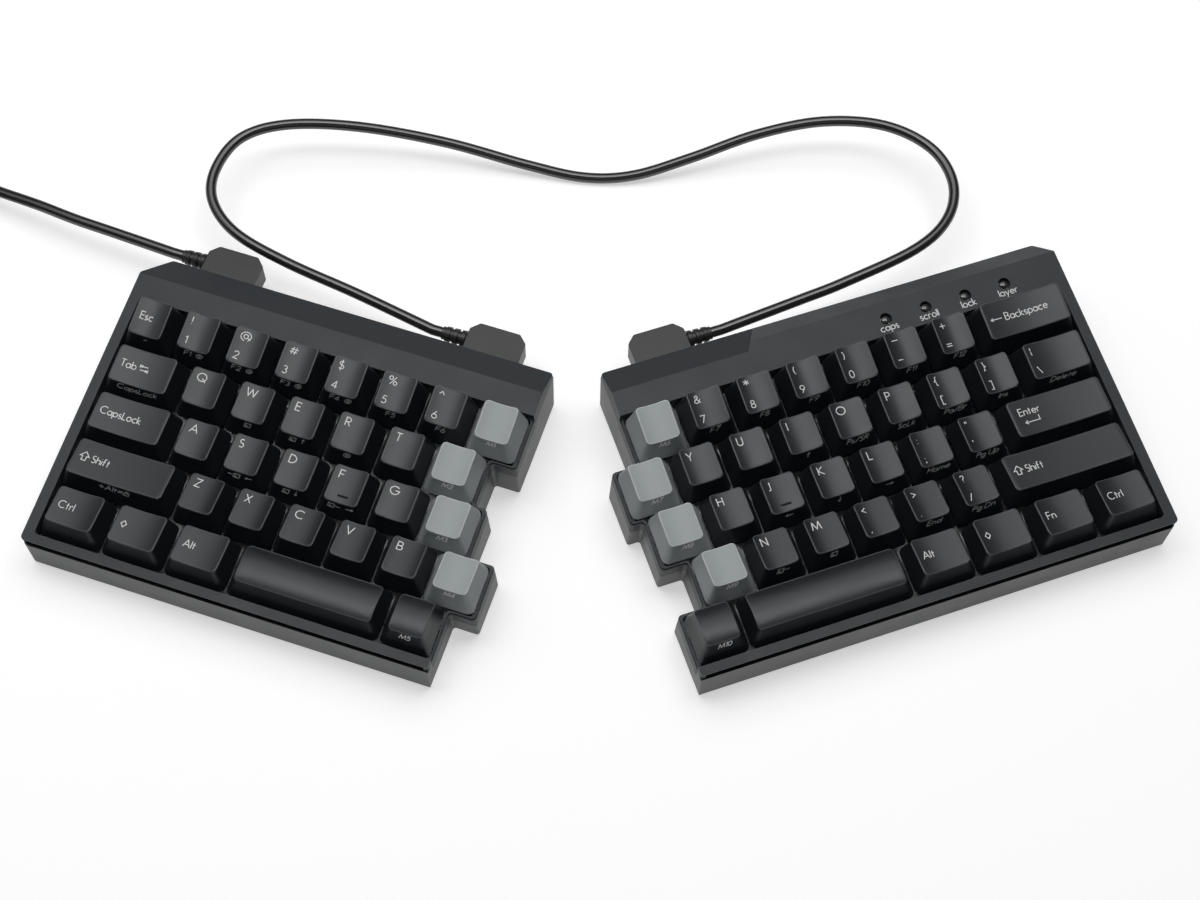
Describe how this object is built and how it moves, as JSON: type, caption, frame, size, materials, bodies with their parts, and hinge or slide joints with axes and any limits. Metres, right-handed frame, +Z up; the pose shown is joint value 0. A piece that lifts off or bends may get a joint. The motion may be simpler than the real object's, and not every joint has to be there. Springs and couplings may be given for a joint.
{
  "type": "ergonomic split keyboard",
  "caption": "Split mechanical keyboard in two fanned, tilted halves with sculpted caps, stepped inner edges, a bridge cable between the halves and a host cable coiled at its far end.",
  "frame": {"origin": "centre of the two halves' box on the surface they stand on, cables left out", "axes": "+X along the typist's right, +Y away from the typist, +Z up"},
  "size_m": [0.5325, 0.2474, 0.0391],
  "materials": {
    "upper_shell": "fine matt",
    "lower_shell": "fine matt",
    "dark_cap": "fine matt",
    "grey_cap": "fine matt",
    "plate_coat": "satin pale grey",
    "board_laminate": "solder mask",
    "switch_plastic": "satin",
    "stabilizer_plastic": "satin",
    "lens_plastic": "dark clear gloss",
    "port_steel": "satin",
    "foot_rubber": "matt",
    "screw_steel": "zinc",
    "foot_plastic": "satin",
    "cable_jacket": "satin",
    "plug_mould": "satin",
    "tie_fabric": "woven"
  },
  "bodies": {
    "keyboard": {"left_bottom_case": "lower_shell", "right_bottom_case": "lower_shell", "left_top_case": "upper_shell", "right_top_case": "upper_shell", "switch_plates": "plate_coat", "circuit_boards": "board_laminate", "switch_housings": "switch_plastic", "stabilizer_housings": "stabilizer_plastic", "indicator_lenses": "lens_plastic", "cable_ports": "port_steel", "rubber_feet": "foot_rubber", "case_screws": "screw_steel", "plate_screws": "screw_steel", "bridge_cable": "cable_jacket", "left_bridge_plug": "plug_mould", "right_bridge_plug": "plug_mould", "host_plug": "plug_mould", "host_cable": "cable_jacket", "host_cable_coil": "cable_jacket", "cable_tie": "tie_fabric", "far_plug": "plug_mould"},
    "left_space": {"left_space": "dark_cap"},
    "right_space": {"right_space": "dark_cap"},
    "key_q": {"key_q": "dark_cap"},
    "key_w": {"key_w": "dark_cap"},
    "key_e": {"key_e": "dark_cap"},
    "key_r": {"key_r": "dark_cap"},
    "key_t": {"key_t": "dark_cap"},
    "key_a": {"key_a": "dark_cap"},
    "key_s": {"key_s": "dark_cap"},
    "key_d": {"key_d": "dark_cap"},
    "key_f": {"key_f": "dark_cap"},
    "key_g": {"key_g": "dark_cap"},
    "key_z": {"key_z": "dark_cap"},
    "key_x": {"key_x": "dark_cap"},
    "key_c": {"key_c": "dark_cap"},
    "key_v": {"key_v": "dark_cap"},
    "key_b": {"key_b": "dark_cap"},
    "key_y": {"key_y": "dark_cap"},
    "key_u": {"key_u": "dark_cap"},
    "key_i": {"key_i": "dark_cap"},
    "key_o": {"key_o": "dark_cap"},
    "key_p": {"key_p": "dark_cap"},
    "key_h": {"key_h": "dark_cap"},
    "key_j": {"key_j": "dark_cap"},
    "key_k": {"key_k": "dark_cap"},
    "key_l": {"key_l": "dark_cap"},
    "key_n": {"key_n": "dark_cap"},
    "key_m": {"key_m": "dark_cap"},
    "left_number_keys": {"left_number_keys": "dark_cap"},
    "right_number_keys": {"right_number_keys": "dark_cap"},
    "left_macro_keys": {"left_macro_keys": "grey_cap"},
    "right_macro_keys": {"right_macro_keys": "grey_cap"},
    "left_modifier_keys": {"left_modifier_keys": "dark_cap"},
    "right_modifier_keys": {"right_modifier_keys": "dark_cap"},
    "punctuation_keys": {"punctuation_keys": "dark_cap"},
    "left_outer_tilt_foot": {"left_outer_tilt_foot": "foot_plastic"},
    "left_inner_tilt_foot": {"left_inner_tilt_foot": "foot_plastic"},
    "right_outer_tilt_foot": {"right_outer_tilt_foot": "foot_plastic"},
    "right_inner_tilt_foot": {"right_inner_tilt_foot": "foot_plastic"}
  },
  "joints": [
    {"name": "left_space_press", "type": "slide", "parent": "keyboard", "child": "left_space", "axis": [0.0334, 0.099, -0.9945], "range_m": [0, 0.004], "stiffness_N_per_m": 75, "springref_m": -0.004},
    {"name": "right_space_press", "type": "slide", "parent": "keyboard", "child": "right_space", "axis": [-0.0334, 0.099, -0.9945], "range_m": [0, 0.004], "stiffness_N_per_m": 75, "springref_m": -0.004},
    {"name": "left_outer_tilt_foot_swing", "type": "hinge", "parent": "keyboard", "child": "left_outer_tilt_foot", "pos_m": [-0.14663, 0.06515, 0.0036], "axis": [0.9475, -0.3198, 0], "range_deg": [0, 90]},
    {"name": "left_inner_tilt_foot_swing", "type": "hinge", "parent": "keyboard", "child": "left_inner_tilt_foot", "pos_m": [-0.04582, 0.03113, 0.0036], "axis": [0.9475, -0.3198, 0], "range_deg": [0, 90]},
    {"name": "right_outer_tilt_foot_swing", "type": "hinge", "parent": "keyboard", "child": "right_outer_tilt_foot", "pos_m": [0.14663, 0.07124, 0.0036], "axis": [0.9475, 0.3198, 0], "range_deg": [0, 90]},
    {"name": "right_inner_tilt_foot_swing", "type": "hinge", "parent": "keyboard", "child": "right_inner_tilt_foot", "pos_m": [0.02777, 0.03113, 0.0036], "axis": [0.9475, 0.3198, 0], "range_deg": [0, 90]},
    {"name": "key_q_press", "type": "slide", "parent": "keyboard", "child": "key_q", "axis": [0.0334, 0.099, -0.9945], "range_m": [0, 0.004], "stiffness_N_per_m": 75, "springref_m": -0.004},
    {"name": "key_w_press", "type": "slide", "parent": "keyboard", "child": "key_w", "axis": [0.0334, 0.099, -0.9945], "range_m": [0, 0.004], "stiffness_N_per_m": 75, "springref_m": -0.004},
    {"name": "key_e_press", "type": "slide", "parent": "keyboard", "child": "key_e", "axis": [0.0334, 0.099, -0.9945], "range_m": [0, 0.004], "stiffness_N_per_m": 75, "springref_m": -0.004},
    {"name": "key_r_press", "type": "slide", "parent": "keyboard", "child": "key_r", "axis": [0.0334, 0.099, -0.9945], "range_m": [0, 0.004], "stiffness_N_per_m": 75, "springref_m": -0.004},
    {"name": "key_t_press", "type": "slide", "parent": "keyboard", "child": "key_t", "axis": [0.0334, 0.099, -0.9945], "range_m": [0, 0.004], "stiffness_N_per_m": 75, "springref_m": -0.004},
    {"name": "key_a_press", "type": "slide", "parent": "keyboard", "child": "key_a", "axis": [0.0334, 0.099, -0.9945], "range_m": [0, 0.004], "stiffness_N_per_m": 75, "springref_m": -0.004},
    {"name": "key_s_press", "type": "slide", "parent": "keyboard", "child": "key_s", "axis": [0.0334, 0.099, -0.9945], "range_m": [0, 0.004], "stiffness_N_per_m": 75, "springref_m": -0.004},
    {"name": "key_d_press", "type": "slide", "parent": "keyboard", "child": "key_d", "axis": [0.0334, 0.099, -0.9945], "range_m": [0, 0.004], "stiffness_N_per_m": 75, "springref_m": -0.004},
    {"name": "key_f_press", "type": "slide", "parent": "keyboard", "child": "key_f", "axis": [0.0334, 0.099, -0.9945], "range_m": [0, 0.004], "stiffness_N_per_m": 75, "springref_m": -0.004},
    {"name": "key_g_press", "type": "slide", "parent": "keyboard", "child": "key_g", "axis": [0.0334, 0.099, -0.9945], "range_m": [0, 0.004], "stiffness_N_per_m": 75, "springref_m": -0.004},
    {"name": "key_z_press", "type": "slide", "parent": "keyboard", "child": "key_z", "axis": [0.0334, 0.099, -0.9945], "range_m": [0, 0.004], "stiffness_N_per_m": 75, "springref_m": -0.004},
    {"name": "key_x_press", "type": "slide", "parent": "keyboard", "child": "key_x", "axis": [0.0334, 0.099, -0.9945], "range_m": [0, 0.004], "stiffness_N_per_m": 75, "springref_m": -0.004},
    {"name": "key_c_press", "type": "slide", "parent": "keyboard", "child": "key_c", "axis": [0.0334, 0.099, -0.9945], "range_m": [0, 0.004], "stiffness_N_per_m": 75, "springref_m": -0.004},
    {"name": "key_v_press", "type": "slide", "parent": "keyboard", "child": "key_v", "axis": [0.0334, 0.099, -0.9945], "range_m": [0, 0.004], "stiffness_N_per_m": 75, "springref_m": -0.004},
    {"name": "key_b_press", "type": "slide", "parent": "keyboard", "child": "key_b", "axis": [0.0334, 0.099, -0.9945], "range_m": [0, 0.004], "stiffness_N_per_m": 75, "springref_m": -0.004},
    {"name": "key_y_press", "type": "slide", "parent": "keyboard", "child": "key_y", "axis": [-0.0334, 0.099, -0.9945], "range_m": [0, 0.004], "stiffness_N_per_m": 75, "springref_m": -0.004},
    {"name": "key_u_press", "type": "slide", "parent": "keyboard", "child": "key_u", "axis": [-0.0334, 0.099, -0.9945], "range_m": [0, 0.004], "stiffness_N_per_m": 75, "springref_m": -0.004},
    {"name": "key_i_press", "type": "slide", "parent": "keyboard", "child": "key_i", "axis": [-0.0334, 0.099, -0.9945], "range_m": [0, 0.004], "stiffness_N_per_m": 75, "springref_m": -0.004},
    {"name": "key_o_press", "type": "slide", "parent": "keyboard", "child": "key_o", "axis": [-0.0334, 0.099, -0.9945], "range_m": [0, 0.004], "stiffness_N_per_m": 75, "springref_m": -0.004},
    {"name": "key_p_press", "type": "slide", "parent": "keyboard", "child": "key_p", "axis": [-0.0334, 0.099, -0.9945], "range_m": [0, 0.004], "stiffness_N_per_m": 75, "springref_m": -0.004},
    {"name": "key_h_press", "type": "slide", "parent": "keyboard", "child": "key_h", "axis": [-0.0334, 0.099, -0.9945], "range_m": [0, 0.004], "stiffness_N_per_m": 75, "springref_m": -0.004},
    {"name": "key_j_press", "type": "slide", "parent": "keyboard", "child": "key_j", "axis": [-0.0334, 0.099, -0.9945], "range_m": [0, 0.004], "stiffness_N_per_m": 75, "springref_m": -0.004},
    {"name": "key_k_press", "type": "slide", "parent": "keyboard", "child": "key_k", "axis": [-0.0334, 0.099, -0.9945], "range_m": [0, 0.004], "stiffness_N_per_m": 75, "springref_m": -0.004},
    {"name": "key_l_press", "type": "slide", "parent": "keyboard", "child": "key_l", "axis": [-0.0334, 0.099, -0.9945], "range_m": [0, 0.004], "stiffness_N_per_m": 75, "springref_m": -0.004},
    {"name": "key_n_press", "type": "slide", "parent": "keyboard", "child": "key_n", "axis": [-0.0334, 0.099, -0.9945], "range_m": [0, 0.004], "stiffness_N_per_m": 75, "springref_m": -0.004},
    {"name": "key_m_press", "type": "slide", "parent": "keyboard", "child": "key_m", "axis": [-0.0334, 0.099, -0.9945], "range_m": [0, 0.004], "stiffness_N_per_m": 75, "springref_m": -0.004},
    {"name": "left_number_press", "type": "slide", "parent": "keyboard", "child": "left_number_keys", "axis": [0.0334, 0.099, -0.9945], "range_m": [0, 0.004], "stiffness_N_per_m": 450, "springref_m": -0.004},
    {"name": "right_number_press", "type": "slide", "parent": "keyboard", "child": "right_number_keys", "axis": [-0.0334, 0.099, -0.9945], "range_m": [0, 0.004], "stiffness_N_per_m": 450, "springref_m": -0.004},
    {"name": "left_macro_press", "type": "slide", "parent": "keyboard", "child": "left_macro_keys", "axis": [0.0334, 0.099, -0.9945], "range_m": [0, 0.004], "stiffness_N_per_m": 375, "springref_m": -0.004},
    {"name": "right_macro_press", "type": "slide", "parent": "keyboard", "child": "right_macro_keys", "axis": [-0.0334, 0.099, -0.9945], "range_m": [0, 0.004], "stiffness_N_per_m": 375, "springref_m": -0.004},
    {"name": "left_modifier_press", "type": "slide", "parent": "keyboard", "child": "left_modifier_keys", "axis": [0.0334, 0.099, -0.9945], "range_m": [0, 0.004], "stiffness_N_per_m": 525, "springref_m": -0.004},
    {"name": "right_modifier_press", "type": "slide", "parent": "keyboard", "child": "right_modifier_keys", "axis": [-0.0334, 0.099, -0.9945], "range_m": [0, 0.004], "stiffness_N_per_m": 525, "springref_m": -0.004},
    {"name": "punctuation_press", "type": "slide", "parent": "keyboard", "child": "punctuation_keys", "axis": [-0.0334, 0.099, -0.9945], "range_m": [0, 0.004], "stiffness_N_per_m": 600, "springref_m": -0.004}
  ]
}
